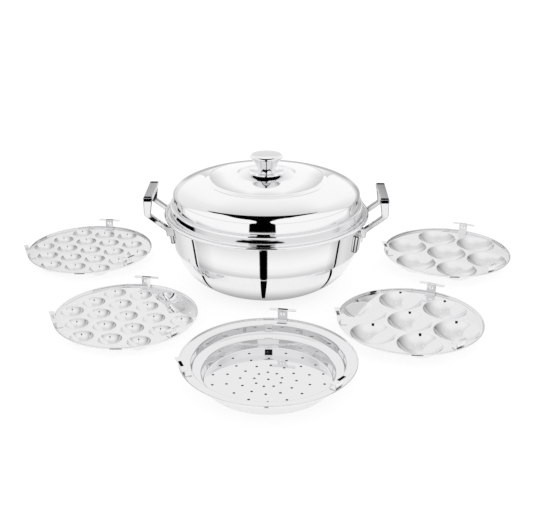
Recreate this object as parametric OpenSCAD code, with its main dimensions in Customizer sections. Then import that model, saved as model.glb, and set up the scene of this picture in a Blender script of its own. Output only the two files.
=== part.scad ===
// Idli steamer: a round-bellied stainless steel pot with two cast handles, a domed lid,
// two mini idli plates, two idli plates and a steamer plate, laid out round the pot.
// Millimetres. +Z up, -Y towards the front, origin at the centre of the pot's base.

/* [Pot] */
// Outside diameter of the rolled rim
rim_d = 280; // [270:1:310]
// Height of the flat lip that the lid rests on
lip_z = 103.8; // [98:0.1:125]
// Width of the rim from the mouth to its outer edge
rim_w = 8; // [7:0.5:12]
// Diameter of the wire-like roll round the rim
bead_d = 4.8; // [3.6:0.1:5.6]
// Diameter of the flat base
base_d = 100; // [60:1:130]
// Diameter at the crease where bowl and upper wall meet
crease_d = 253; // [235:1:258]
// Height of the crease
crease_z = 57; // [45:1:65]
// Height of the crease's small outward step
crease_step = 0.8; // [0.4:0.1:1.5]
// Thickness of the pot's sheet
pot_t = 1.2; // [0.8:0.1:2]

/* [Handles] */
// Length of the grip, front to back
grip_len = 71; // [60:1:85]
// Width of the grip and of its legs where they stand upright
grip_w = 12; // [9:0.5:15]
// Thickness of the grip bar
grip_t = 6; // [5:0.5:8]
// Reach of the grip's outer edge past the rim
grip_reach = 24; // [20:1:34]
// Rise of the grip's top face above the lip
grip_rise = 29.7; // [24:0.1:38]
// Thickness of each leg, front to back
leg_t = 7; // [5:0.5:9]
// Depth of the sloping part of a leg
leg_depth = 6.5; // [5:0.5:8]
// Drop from the grip's top to where a leg bends inwards
elbow_drop = 22; // [18:0.5:24]
// Width of each foot pad
foot_w = 14; // [11:0.5:18]
// Height of each foot pad
foot_h = 24; // [20:1:28]
// Thickness of each foot pad
foot_t = 4.5; // [3:0.1:6]
// Gap from the roll's underside down to the top of a foot pad
foot_drop = 13.5; // [11:0.5:16]
// Diameter of the rivets' shanks
rivet_d = 3.8; // [3:0.1:6]
// Diameter of the rivets' heads
rivet_head_d = 8; // [7:0.1:10]
// Height of the rivets' heads
rivet_head_h = 1.5; // [1:0.1:2]

/* [Lid] */
// Diameter of the dome's upright side
dome_d = 254; // [244:1:256]
// Height from the lip to where the dome starts to turn in
dome_side = 28.2; // [22:0.1:36]
// Rise of the dome above its side
dome_rise = 28.6; // [18:0.1:40]
// Fullness of the dome's curve: 2 is an ellipse, lower is leaner
dome_power = 1.65; // [1.5:0.01:2.4]
// Height of the sloping flange below the dome
flange_drop = 10.6; // [8:0.1:13]
// How far the flange's foot stands out past the dome
flange_out = 4.6; // [4:0.1:5]
// Diameter of the raised round panel on top
panel_d = 163; // [140:1:190]
// Rise of the panel's edge
panel_step = 0.7; // [0.3:0.1:1.2]
// Diameter of the dish pressed in round the knob
dish_d = 79; // [66:1:95]
// Depth of the dish
dish_depth = 1.2; // [0.6:0.1:2]
// Thickness of the lid's sheet
lid_t = 1; // [0.7:0.1:1.5]

/* [Knob] */
// Diameter of the knob's top
knob_d = 43.6; // [36:0.1:50]
// Height of the knob
knob_h = 26.4; // [22:0.1:32]
// Diameter of the knob's narrow foot
knob_foot_d = 22; // [18:0.5:26]
// Thickness of the knob's rounded edge
knob_edge = 3; // [2:0.1:4]
// Diameter of the saucer under the knob
saucer_d = 49; // [44:0.5:56]
// Height of the saucer
saucer_h = 3.8; // [3:0.1:6]
// Thickness of the saucer's sheet
saucer_t = 1.2; // [0.8:0.1:1.6]
// Diameter of the screw that holds the knob
screw_d = 5; // [4:0.1:6]
// How far the screw reaches into the knob
screw_grip = 14; // [10:0.5:18]
// Diameter of the washer under the lid
washer_d = 16; // [13:0.5:20]
// Thickness of the washer
washer_t = 1; // [0.8:0.1:1.6]

/* [Idli plates] */
// Diameter of the idli plates and the mini idli plates
plate_d = 184; // [180:1:200]
// Thickness of the plates' sheet
plate_t = 0.8; // [0.6:0.1:1.2]
// Height of the raised edge round each idli plate
edge_h = 3; // [2:0.1:5]
// Diameter of an idli cup
cup_d = 57; // [48:0.5:58]
// Depth of an idli cup
cup_depth = 14.5; // [10:0.5:20]
// Distance between the centres of neighbouring idli cups
cup_pitch = 60; // [59.5:0.5:61]
// Diameter of a mini idli cup
mini_cup_d = 30.2; // [24:0.2:33]
// Depth of a mini idli cup
mini_cup_depth = 10; // [7:0.5:12]
// Distance between the centres of neighbouring mini cups
mini_pitch = 36.6; // [35.5:0.1:37]
// Diameter of the steam holes inside the idli cups
pinhole_d = 1.6; // [1:0.1:2.5]
// Diameter of the steam holes between the cups
vent_d = 2.8; // [1.5:0.1:4]

/* [Steamer plate] */
// Outside diameter of the steamer plate
pan_d = 204; // [196:1:224]
// Depth from its flange to its base
pan_depth = 27; // [22:1:34]
// Width of its flat flange
pan_flange = 10.5; // [9:0.5:14]
// Height of the turned-up edge of the flange
pan_edge = 2; // [1.5:0.1:4]
// Diameter of its perforated base
pan_base_d = 142; // [130:1:150]
// Height of the ledge between its two tiers
pan_ledge_z = 14; // [10:0.5:18]
// Diameter of the holes in the base
pan_hole_d = 3.2; // [2:0.1:5]
// Distance between the rings of holes
pan_ring = 16.2; // [13:0.1:16.6]
// How far each ring of holes is turned from the one inside it
pan_twist = 13; // [0:1:30]

/* [Lugs] */
// Width of a lug's upright strip
lug_w = 12; // [9:0.5:15]
// Height of a lug, from the plate up to its cross bar
lug_h = 14; // [11:0.5:20]
// Length of a lug's cross bar
bar_len = 33; // [26:0.5:40]
// Width of a lug's cross bar
bar_w = 6; // [4:0.5:9]
// Length of a lug's foot along the plate
lug_foot = 8.5; // [6:0.5:9]
// Thickness of a lug's strip
lug_t = 0.9; // [0.7:0.1:1.2]

/* [Layout on the table] */
// Centre of the rear mini idli plate
mini_rear_at = [-266.4, 78.2]; // [-400:0.1:400]
// Centre of the front mini idli plate
mini_front_at = [-177.2, -140.1]; // [-400:0.1:400]
// How far both mini idli plates are turned on the table
mini_turn = 9; // [-180:0.5:180]
// Centre of the rear idli plate
idli_rear_at = [264.5, 68.4]; // [-400:0.1:400]
// Centre of the front idli plate
idli_front_at = [184, -155.8]; // [-400:0.1:400]
// How far both idli plates are turned on the table
idli_turn = -7; // [-180:0.5:180]
// Centre of the steamer plate
steamer_at = [8.4, -278.9]; // [-400:0.1:400]

/* [Hidden] */
$fn = 48;
PLATES = ["mini_rear", "mini_front", "idli_rear", "idli_front", "steamer"];

eps = 0.01;
polished = [0.86, 0.87, 0.88];
satin = [0.74, 0.75, 0.76];
fit = 0.3;
shank_fit = 0.05;

// Pot
rim_r = rim_d / 2;
mouth_r = rim_r - rim_w;
bead_r = bead_d / 2;
bead_drop = 0.4;
bead_at = [rim_r - bead_r, lip_z - bead_drop];
base_r = base_d / 2;
crease_r = crease_d / 2;
bowl_turn = 79;
bowl_a = (crease_r - base_r) / sin(bowl_turn);
bowl_b = crease_z / (1 - cos(bowl_turn));
lip_under = lip_z - pot_t;
neck_z = lip_under - 4;
wall_foot = [crease_r + crease_step, crease_z + 1.5 * crease_step];
wall_lean = atan2(mouth_r - wall_foot[0], neck_z - wall_foot[1]);

// Handles
grip_out = rim_r + grip_reach;
grip_in = grip_out - grip_w;
grip_top = lip_z + grip_rise;
half_grip = grip_len / 2;
leg_mid = half_grip - leg_t / 2;
foot_top = bead_at[1] - bead_r - foot_drop;
foot_mid = foot_top - foot_h / 2;
elbow_z = grip_top - elbow_drop;
foot_turn = asin(leg_mid / wall_r(foot_mid));

// Lid
dome_r = dome_d / 2;
dome_z = lip_z + dome_side;
flange_top = lip_z + lid_t + flange_drop;
flange_r = dome_r + flange_out;
lid_edge_r = bead_at[0] - sqrt(bead_r * bead_r - bead_drop * bead_drop) - fit;
panel_r = panel_d / 2;
dish_r = dish_d / 2;
dish_z = dome_height(dish_r) + panel_step - dish_depth;
saucer_floor = dish_z + saucer_t;
knob_r = knob_d / 2;
screw_r = screw_d / 2;

// Plates
roll_r = 0.9;
plate_r = plate_d / 2;
cup_ring_turn = -18;
gap_turn = cup_ring_turn + 30;
web_z = cup_depth + plate_t;
mini_web_z = mini_cup_depth + plate_t;
web_r = plate_r - 3;
pan_r = pan_d / 2;
pan_base_r = pan_base_d / 2;
pan_flange_r = pan_r - pan_flange;

// The pot's upper wall: its outer radius at a height
function wall_r(z) = wall_foot[0] + (z - wall_foot[1]) * tan(wall_lean);

// The lid's dome: the height of its outer face at a radius
function dome_height(r) =
    dome_z + dome_rise * pow(1 - pow(min(r, dome_r) / dome_r, dome_power), 1 / dome_power);

// Unit vector, and the left-hand side of a step from a to b
function unit(v) = v / norm(v);
function left_of(a, b) = let(d = unit(b - a)) [-d[1], d[0]];

// A line moved sideways by t, its corners kept sharp
function moved(line, t) = [for (i = [0:len(line) - 1])
    let(before = left_of(line[max(i - 1, 0)], line[max(i, 1)]),
        after = left_of(line[min(i, len(line) - 2)], line[min(i + 1, len(line) - 1)]),
        half = unit(before + after))
    line[i] + half * t / (half * before)];

// Outline of a sheet of thickness t that lies on the left of a line
function sheet(line, t) =
    let(far = moved(line, t))
    concat(line, [for (i = [len(far) - 1:-1:0]) [max(far[i][0], 0), far[i][1]]]);

// Outline with rounded corners, from points [x, y, radius]
function corner(a, b, c, r, n) =
    let(u = unit(a - b), v = unit(c - b), half = acos(u * v) / 2,
        mid = b + unit(u + v) * r / sin(half),
        s = b + u * r / tan(half) - mid, e = b + v * r / tan(half) - mid,
        from = atan2(s[1], s[0]), turn = (atan2(e[1], e[0]) - from + 540) % 360 - 180)
    [for (i = [0:n]) mid + r * [cos(from + turn * i / n), sin(from + turn * i / n)]];
function flat(p) = [p[0], p[1]];
function rounded(pts, n = 6) = [for (i = [0:len(pts) - 1])
    let(a = pts[(i + len(pts) - 1) % len(pts)], b = pts[i], c = pts[(i + 1) % len(pts)])
    each (b[2] == 0 ? [flat(b)] : corner(flat(a), flat(b), flat(c), b[2], n))];

// Places on a triangular grid of so many rings round a centre
function honeycomb(rings, pitch, turn) = [
    for (q = [-rings:rings], s = [max(-rings, -q - rings):min(rings, rings - q)])
    let(x = pitch * (q + s / 2), y = pitch * s * sqrt(3) / 2)
    [x * cos(turn) - y * sin(turn), x * sin(turn) + y * cos(turn)]];

// Places evenly round a circle
function circle_of(count, r, turn = 0) = [
    for (k = [0:count - 1])
    let(a = turn + 360 * k / count)
    [r * cos(a), r * sin(a)]];

// Outer line of the pot, from the centre of its base up to the lip
pot_line = concat(
    [[0, 0]],
    [for (i = [0:14]) let(a = bowl_turn * i / 14) [base_r + bowl_a * sin(a), bowl_b * (1 - cos(a))]],
    [wall_foot],
    [for (i = [0:4])
        let(a = 90 * i / 4 - wall_lean * (1 - i / 4))
        [mouth_r + 2.8 * (1 - cos(a)), neck_z + 4 * sin(max(a, 0))]],
    [[bead_at[0], lip_under]]);

module pot_shell() {
    color(polished)
    difference() {
        rotate_extrude() {
            polygon(sheet(pot_line, pot_t));
            translate(bead_at) circle(bead_r);
        }
        rivet_places() cylinder(r = rivet_d / 2 + shank_fit, h = 8 * pot_t, center = true);
    }
}

// Everything inside the pot's outer line, used to cut the feet to the wall
module pot_inside() {
    rotate_extrude() polygon(concat(pot_line, [[0, lip_under]]));
}

// Where the rivets go: on the wall's outer face, z pointing square out of it
module rivet_places(sides = [-1, 1]) {
    for (side = sides, end = [-1, 1])
        rotate([0, 0, (side > 0 ? 0 : 180) + end * foot_turn])
            translate([wall_r(foot_mid), 0, foot_mid])
                rotate([0, 90 + wall_lean, 0]) children();
}

// A leg seen from the front: upright under the grip, then sloping in to the wall
function leg_outline() =
    let(wall_top = wall_r(foot_top), slope_in = mouth_r - 12)
    rounded([
        [grip_out, grip_top, 1.2],
        [grip_out - 0.2, elbow_z - 3, 7],
        [wall_top + foot_t, foot_top - 1, 4],
        [wall_top + foot_t - 1, foot_top - leg_depth - 2, 0],
        [slope_in, foot_top - leg_depth - 2, 0],
        [slope_in, foot_top + 4.5, 0],
        [mouth_r + 1, foot_top + 4.5, 2],
        [grip_in + 3.4, elbow_z - 2.5, 4],
        [grip_in, grip_top, 1.2]]);

// Right-hand handle: grip bar, two legs and a pad at each foot
module handle() {
    color(satin)
    difference() {
        union() {
            rotate([90, 0, 0]) linear_extrude(grip_len, center = true)
                polygon(rounded([
                    [grip_in, grip_top - grip_t, 2], [grip_out, grip_top - grip_t, 2],
                    [grip_out, grip_top, 1.2], [grip_in, grip_top, 1.2]]));
            for (end = [-1, 1]) {
                translate([0, end * leg_mid, 0]) rotate([90, 0, 0])
                    linear_extrude(leg_t, center = true) polygon(leg_outline());
                foot_pad(end);
            }
        }
        pot_inside();
        translate([0, 0, bead_at[1] - bead_r - fit]) cylinder(r = rim_r + fit, h = bead_d + 2 * fit);
        rivet_places([1]) cylinder(r = rivet_d / 2 + shank_fit, h = 8 * foot_t, center = true);
    }
}

// A pad that follows the wall, cut from a ring of even thickness
module foot_pad(end) {
    low = foot_top - foot_h;
    intersection() {
        rotate_extrude() polygon([
            [wall_r(low) - pot_t, low], [wall_r(low) + foot_t - 1, low], [wall_r(low + 1) + foot_t, low + 1],
            [wall_r(foot_top) + foot_t, foot_top], [wall_r(foot_top) - pot_t, foot_top]]);
        rotate([0, 0, end * foot_turn])
            translate([rim_r - 20, -foot_w / 2, low]) cube([40, foot_w, foot_h]);
    }
}

module handle_right() { handle(); }
module handle_left() { mirror([1, 0, 0]) handle(); }

// Rivets through foot pad and wall, with a domed head outside and a flat one inside
module rivets(side) {
    sag = rivet_head_d * rivet_head_d / (8 * crease_r);
    color(polished)
    rivet_places([side]) {
        translate([0, 0, -pot_t - sag - rivet_head_h]) cylinder(d = rivet_head_d, h = rivet_head_h);
        translate([0, 0, -pot_t - sag - eps]) cylinder(d = rivet_d, h = pot_t + sag + foot_t + 2 * eps);
        translate([0, 0, foot_t]) rivet_head();
    }
}

module rivet_head() {
    ball_r = ball_radius(rivet_head_d, rivet_head_h);
    intersection() {
        translate([0, 0, rivet_head_h - ball_r]) sphere(ball_r);
        cylinder(d = rivet_head_d, h = rivet_head_h + 1);
    }
}

module rivets_left() { rivets(-1); }
module rivets_right() { rivets(1); }

// Outer line of the lid, from its edge up over the dome to the hole at its centre
lid_line = concat(
    [[lid_edge_r, lip_z + lid_t], [lid_edge_r - 1.6, lip_z + lid_t]],
    [[flange_r + 0.7, lip_z + lid_t + 1.4], [flange_r + 0.2, lip_z + lid_t + 3.4],
     [flange_r - 0.1, flange_top - 3.6], [flange_r - 0.9, flange_top - 1.8],
     [dome_r + 1.4, flange_top + 1.2], [dome_r + 0.3, flange_top + 3], [dome_r, flange_top + 5]],
    [for (i = [0:13])
        let(r = dome_r * pow(sin(90 - 50 * i / 13), 2 / dome_power))
        if (r > panel_r + 4) [r, dome_height(r)]],
    [[panel_r + 1.5, dome_height(panel_r + 1.5)], [panel_r - 1, dome_height(panel_r - 1) + panel_step]],
    [for (i = [1:6]) let(r = panel_r + (dish_r - panel_r) * i / 6) [r, dome_height(r) + panel_step]],
    [[dish_r - 2, dish_z], [screw_r + fit, dish_z]]);

module lid_shell() {
    color(polished)
    rotate_extrude() polygon(sheet(lid_line, lid_t));
}

module lid_saucer() {
    color(polished)
    rotate_extrude() polygon(sheet([
        [screw_r + fit, dish_z], [saucer_d * 0.28, dish_z], [saucer_d * 0.36, dish_z + 0.5],
        [saucer_d * 0.45, dish_z + saucer_h * 0.45],
        [saucer_d / 2, dish_z + saucer_h - saucer_t]], saucer_t));
}

// Knob, turned from bar: a narrow foot that flares to a broad, slightly domed top
module lid_knob() {
    foot_r = knob_foot_d / 2;
    flare_top = knob_h - knob_edge - 1.5;
    flare = [for (i = [0:7]) [foot_r + (knob_r - foot_r) * pow(i / 7, 1.7), 1.5 + (flare_top - 1.5) * i / 7]];
    edge_at = [knob_r - knob_edge / 2, knob_h - 1.5 - knob_edge / 2];
    edge = [for (i = [0:5]) let(a = -60 + 120 * i / 5) edge_at + knob_edge / 2 * [cos(a), sin(a)]];
    crown = [for (i = [1:4]) [knob_r * (1 - i / 4) * 0.93, knob_h - 1.5 * pow(1 - i / 4, 2) * 0.6]];
    color(polished)
    translate([0, 0, saucer_floor])
    difference() {
        rotate_extrude() polygon(concat([[0, 0], [foot_r - 0.8, 0], [foot_r, 0.8]], flare, edge, crown));
        translate([0, 0, -eps]) cylinder(r = screw_r + shank_fit, h = screw_grip + fit);
    }
}

module lid_washer() {
    color(satin)
    translate([0, 0, dish_z - lid_t - washer_t])
    difference() {
        cylinder(d = washer_d, h = washer_t);
        translate([0, 0, -eps]) cylinder(r = screw_r + fit, h = washer_t + 2 * eps);
    }
}

// Pan-head screw from inside the lid up into the knob
module lid_screw() {
    under = dish_z - lid_t - washer_t;
    color(satin)
    difference() {
        union() {
            translate([0, 0, under - 0.6 * screw_d]) cylinder(d = 1.9 * screw_d, h = 0.6 * screw_d);
            translate([0, 0, under - eps]) cylinder(r = screw_r, h = saucer_floor - under + screw_grip);
        }
        for (turn = [0, 90])
            translate([0, 0, under - 0.6 * screw_d]) rotate([0, 0, turn])
                cube([screw_d, 0.2 * screw_d, 0.5 * screw_d], center = true);
    }
}

// Outer line of an idli plate's sheet: flat web, then a raised edge
function plate_line(z) = [
    [0, z - plate_t], [web_r + 0.8, z - plate_t], [plate_r - 1.2, z - plate_t + 0.6],
    [plate_r - 0.8, z - plate_t + 1.8], [plate_r - 0.8, z + edge_h - roll_r]];

// Radius of the ball whose cap is d across and so deep
function ball_radius(d, depth) = (d * d / 4 + depth * depth) / (2 * depth);

// A ball-shaped cup: the part of a ball below the height z, grown by t
module cup(d, depth, z, t) {
    ball_r = ball_radius(d, depth);
    intersection() {
        translate([0, 0, z - depth + ball_r]) sphere(ball_r + t);
        translate([0, 0, z - depth - t - 1]) cylinder(d = d + 6, h = depth + t + 1 + (t > 0 ? 0 : 1));
    }
}

// A plate with cups at the given places and round holes through its web
module cupped_plate(z, places, d, depth, vents) {
    color(polished)
    difference() {
        union() {
            rotate_extrude() {
                polygon(sheet(plate_line(z), plate_t));
                translate([plate_r - roll_r, z + edge_h - roll_r]) circle(roll_r);
            }
            for (p = places) translate(p) cup(d, depth, z, plate_t);
        }
        for (p = places) translate(p) cup(d, depth, z, 0);
        for (p = vents) translate([p[0], p[1], z - plate_t - 1]) cylinder(d = vent_d, h = plate_t + 2);
    }
}

mini_cups = honeycomb(2, mini_pitch, cup_ring_turn);
idli_cups = honeycomb(1, cup_pitch, cup_ring_turn);

// Holes near the edge, a pair astride each outer mini cup
mini_vent_r = web_r - 7;
mini_vents = [for (side = [-16, 16]) each circle_of(6, mini_vent_r, cup_ring_turn + side)];

// Three holes in each gap between the outer idli cups: one, and two further out astride it
vent_r = 1.1 * cup_pitch;
far_vent_r = vent_r + 6.5;
far_vent_turn = 3.3;
idli_vents = concat(
    circle_of(6, vent_r, gap_turn),
    circle_of(6, far_vent_r, gap_turn - far_vent_turn),
    circle_of(6, far_vent_r, gap_turn + far_vent_turn));

// Steam holes in an idli cup, ring by ring: how many, and how far from its centre
pin_rings = [[6, 8], [10, 15.5]];

module mini_plate() {
    cupped_plate(mini_web_z, mini_cups, mini_cup_d, mini_cup_depth, mini_vents);
}

module idli_plate() {
    difference() {
        cupped_plate(web_z, idli_cups, cup_d, cup_depth, idli_vents);
        for (p = idli_cups) translate(p) pinholes();
    }
}

// Steam holes of one idli cup, each square through its ball-shaped floor
module pinholes() {
    ball_r = ball_radius(cup_d, cup_depth);
    translate([0, 0, plate_t + ball_r])
        for (ring = pin_rings, k = [1:ring[0]])
            rotate([0, 180 - asin(ring[1] / ball_r), 360 * k / ring[0]])
                translate([0, 0, ball_r - 1]) cylinder(d = pinhole_d, h = plate_t + 2);
}

module mini_plate_rear() { translate(mini_rear_at) rotate([0, 0, mini_turn]) mini_plate(); }
module mini_plate_front() { translate(mini_front_at) rotate([0, 0, mini_turn]) mini_plate(); }
module idli_plate_rear() { translate(idli_rear_at) rotate([0, 0, idli_turn]) idli_plate(); }
module idli_plate_front() { translate(idli_front_at) rotate([0, 0, idli_turn]) idli_plate(); }

// Steamer plate: perforated base, two tiers of wall, flat flange with a turned-up edge
pan_wall_r = pan_base_r + 4;
pan_line = concat(
    [[0, 0]],
    [for (i = [0:4]) let(a = 80 * i / 4) [pan_base_r + 4 * sin(a), 4 * (1 - cos(a))]],
    [[pan_wall_r + 2.5, pan_ledge_z - 1], [pan_wall_r + 3.6, pan_ledge_z],
     [pan_flange_r - 5.5, pan_ledge_z + 1.6], [pan_flange_r - 3.5, pan_ledge_z + 3.2]],
    [for (i = [0:4])
        let(a = 90 * i / 4)
        [pan_flange_r - 2.5 * (i < 1 ? 1.1 : cos(a)), pan_depth - plate_t - 2.5 * (1 - sin(a))]],
    [[pan_r - 1.6, pan_depth - plate_t], [pan_r - roll_r, pan_depth - plate_t + 0.7],
     [pan_r - roll_r, pan_depth + pan_edge - roll_r]]);

// Rings of holes: how many in each ring, from the centre out
pan_counts = [1, 9, 12, 14, 18];

module steamer_plate() {
    color(polished)
    translate(steamer_at)
    difference() {
        rotate_extrude() {
            polygon(sheet(pan_line, plate_t));
            translate([pan_r - roll_r, pan_depth + pan_edge - roll_r]) circle(roll_r);
        }
        for (ring = [0:len(pan_counts) - 1], p = circle_of(pan_counts[ring], ring * pan_ring, ring * pan_twist))
            translate([p[0], p[1], -1]) cylinder(d = pan_hole_d, h = plate_t + 2);
    }
}

// A lug: a foot on the plate, an upright strip with two slots, and a cross bar on top.
// It stands on the X axis, on a face at height z, its upright's outer face at radius r.
module lug(r, z) {
    color(polished)
    difference() {
        union() {
            translate([r - lug_foot, -lug_w / 2, z]) cube([lug_foot, lug_w, lug_t]);
            translate([r - lug_t, -lug_w / 2, z]) cube([lug_t, lug_w, lug_h]);
            translate([r - lug_t, 0, z + lug_h - lug_t]) linear_extrude(lug_t)
                polygon(rounded([
                    [0, -bar_len / 2, 0.5], [bar_w, -bar_len / 2, 1.5],
                    [bar_w, bar_len / 2, 1.5], [0, bar_len / 2, 0.5]]));
        }
        for (side = [-1, 1]) translate([r - lug_t / 2, side * 0.15 * lug_w, z + lug_h * 0.62])
            rotate([0, 90, 0]) linear_extrude(3 * lug_t, center = true)
                polygon(rounded([[-2, -0.8, 0.7], [2, -0.8, 0.7], [2, 0.8, 0.7], [-2, 0.8, 0.7]]));
    }
}

lug_r = web_r + 0.2;
pan_lug_r = pan_r - 2.4;
steamer_lug_turn = 81;
module mini_lug(at, k) { translate(at) rotate([0, 0, mini_turn + gap_turn + 120 * k - 60]) lug(lug_r, mini_web_z); }
module idli_lug(at, k) { translate(at) rotate([0, 0, idli_turn + gap_turn + 120 * k - 60]) lug(lug_r, web_z); }
module steamer_lug(k) { translate(steamer_at) rotate([0, 0, steamer_lug_turn + 120 * (k - 1)]) lug(pan_lug_r, pan_depth); }

pot_shell();
handle_left();
handle_right();
rivets_left();
rivets_right();
lid_shell();
lid_saucer();
lid_knob();
lid_washer();
lid_screw();
mini_plate_rear();
mini_plate_front();
idli_plate_rear();
idli_plate_front();
steamer_plate();
for (k = [1:3]) {
    mini_lug(mini_rear_at, k);
    mini_lug(mini_front_at, k);
    idli_lug(idli_rear_at, k);
    idli_lug(idli_front_at, k);
    steamer_lug(k);
}
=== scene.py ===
# Looks of the idli steamer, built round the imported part: mirror-polished sheet steel pot and lid,
# cast handles, and five plates. Lengths are worked out in millimetres and turned to metres at the end.
import math

import bpy
import numpy as np
from mathutils import Matrix, Vector


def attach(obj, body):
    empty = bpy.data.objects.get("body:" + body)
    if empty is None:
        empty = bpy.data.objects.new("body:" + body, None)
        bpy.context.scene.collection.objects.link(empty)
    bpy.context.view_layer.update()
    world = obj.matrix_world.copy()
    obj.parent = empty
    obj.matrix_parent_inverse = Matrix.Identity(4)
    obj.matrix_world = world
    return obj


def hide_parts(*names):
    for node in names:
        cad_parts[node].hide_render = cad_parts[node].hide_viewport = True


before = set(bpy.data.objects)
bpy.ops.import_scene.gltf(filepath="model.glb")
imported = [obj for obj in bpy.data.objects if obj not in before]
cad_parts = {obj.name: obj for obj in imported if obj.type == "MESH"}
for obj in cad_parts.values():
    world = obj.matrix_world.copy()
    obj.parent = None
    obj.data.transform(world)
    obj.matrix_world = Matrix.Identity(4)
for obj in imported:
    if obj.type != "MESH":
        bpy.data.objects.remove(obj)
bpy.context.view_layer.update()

MM = 0.001
TURN = 2 * math.pi

# How finely round pieces are spun, and the angle in degrees below which an edge is smoothed
SPIN_STEPS = 192
KNOB_STEPS = 96
SMOOTH_BELOW = 40
BEAD_SMOOTH_BELOW = 60
# Points nearer to each other than this, in metres, are joined
WELD = 0.00001

# The camera stands where the photograph's did for the pot: 1.2 m in front, 545 mm up
PHOTO_WIDTH_PX = 533
FOCAL_PX = 926
SENSOR_MM = 36
CAMERA_AWAY = 1.2
CAMERA_UP = 0.545
CAMERA_PITCH = 23.6
CAMERA_TURN = 1.3


def place_camera():
    """A lens as long as the photograph's, on the pot's near side."""
    data = bpy.data.cameras.new("camera")
    data.sensor_width = SENSOR_MM
    data.lens = FOCAL_PX * SENSOR_MM / PHOTO_WIDTH_PX
    camera = bpy.data.objects.new("camera", data)
    turn = math.radians(CAMERA_TURN)
    camera.location = (CAMERA_AWAY * math.sin(turn), -CAMERA_AWAY * math.cos(turn), CAMERA_UP)
    camera.rotation_euler = (math.radians(90 - CAMERA_PITCH), 0, turn)
    bpy.context.scene.collection.objects.link(camera)
    bpy.context.scene.camera = camera


place_camera()


# Materials

STEEL_TONE = "#efeff0"
BUMP_DEPTH = 0.0002


def colour(code):
    """An sRGB hex colour as the linear numbers that Blender wants."""
    parts = [int(code[i:i + 2], 16) / 255 for i in (1, 3, 5)]
    return (*[c / 12.92 if c <= 0.04045 else ((c + 0.055) / 1.055) ** 2.4 for c in parts], 1)


def add(tree, kind, inputs=(), **settings):
    """Adds a node. Each input is a number, a colour, another node or one of its outputs."""
    made = tree.nodes.new("ShaderNode" + kind)
    for key, value in settings.items():
        setattr(made, key, value)
    for key, value in inputs.items() if isinstance(inputs, dict) else enumerate(inputs):
        if isinstance(value, bpy.types.Node):
            value = value.outputs[0]
        if isinstance(value, bpy.types.NodeSocket):
            tree.links.new(value, made.inputs[key])
        else:
            made.inputs[key].default_value = value
    return made


def new_material(name):
    """An empty material and its node tree."""
    material = bpy.data.materials.new(name)
    material.use_nodes = True
    tree = material.node_tree
    tree.nodes.clear()
    return material, tree


def spread(tree, value, before, after, **settings):
    """Maps a value from one range to another, each given as (low, high)."""
    return add(tree, "MapRange", [value, *before, *after], **settings)


def two_tones(tree, share, first, second):
    """A tone between two hex colours."""
    mixed = add(tree, "Mix", {0: share, 6: colour(first), 7: colour(second)}, data_type="RGBA")
    return mixed.outputs[2]


def finish_material(tree, shader):
    """Makes the shader the material's surface."""
    add(tree, "OutputMaterial", {"Surface": shader})


def finish_metal(tree, tone, roughness, **others):
    """Makes the material bare metal of this tone and roughness."""
    inputs = {"Base Color": tone, "Metallic": 1.0, "Roughness": roughness, **others}
    finish_material(tree, add(tree, "BsdfPrincipled", inputs))


def mirror_steel(name, centre):
    """Stainless steel sheet, spun and buffed to a mirror: near-white metal with faint rings
    round the spinning axis where the buffing mop ran, and a barely uneven gloss."""
    material, tree = new_material(name)
    place = add(tree, "TexCoord").outputs["Object"]
    centred = add(tree, "Mapping", {"Vector": place, "Location": (-centre[0] * MM, -centre[1] * MM, 0)})
    parts = add(tree, "SeparateXYZ", [centred])
    flat = add(tree, "CombineXYZ", [parts.outputs["X"], parts.outputs["Y"]])
    radius = add(tree, "VectorMath", [flat], operation="LENGTH").outputs["Value"]
    ring_place = add(tree, "CombineXYZ", [radius, parts.outputs["Z"]])
    # Buffing rings are 0.1 mm apart; drawn 2 mm apart, so that they show
    rings = add(tree, "TexNoise", {"Vector": ring_place, "Scale": 500.0, "Detail": 2.0})
    # Uneven pressure of the mop, 40 mm across
    haze = add(tree, "TexNoise", {"Vector": place, "Scale": 25.0, "Detail": 3.0})
    mixed = add(tree, "Math", [rings.outputs["Fac"], haze.outputs["Fac"]], operation="MULTIPLY")
    rough = spread(tree, mixed, (0.1, 0.45), (0.02, 0.055))
    bump = add(tree, "Bump", {"Height": rings.outputs["Fac"], "Strength": 0.015, "Distance": BUMP_DEPTH})
    finish_metal(tree, colour(STEEL_TONE), rough, Normal=bump)
    return material


def cast_steel():
    """Investment-cast stainless steel, belt-polished: the same metal, softer in its gloss,
    with short uneven streaks along the grip."""
    material, tree = new_material("cast_stainless_polished")
    place = add(tree, "TexCoord").outputs["Object"]
    # Polishing streaks 1 mm wide and 16 mm long
    stretched = add(tree, "Mapping", {"Vector": place, "Scale": (900.0, 60.0, 900.0)})
    streaks = add(tree, "TexNoise", {"Vector": stretched, "Scale": 1.0, "Detail": 3.0}).outputs["Fac"]
    rough = spread(tree, streaks, (0.3, 0.7), (0.05, 0.12))
    bump = add(tree, "Bump", {"Height": streaks, "Strength": 0.03, "Distance": BUMP_DEPTH})
    finish_metal(tree, colour("#e6e6e7"), rough, Normal=bump)
    return material


def painted_edge_shade():
    """Painted shade for the castings' rounded edges: dark, dull metal that stands in for the dark which
    polished rounded edges mirror, so that each leg has a thin dark outline."""
    material, tree = new_material("cast_stainless_painted_edge_shade")
    place = add(tree, "TexCoord").outputs["Object"]
    # Grain of the investment mould, 2 mm
    grain = add(tree, "TexNoise", {"Vector": place, "Scale": 500.0, "Detail": 2.0}).outputs["Fac"]
    finish_metal(tree, two_tones(tree, grain, "#2c2d2f", "#6a6c6f"), 0.16)
    return material


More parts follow.
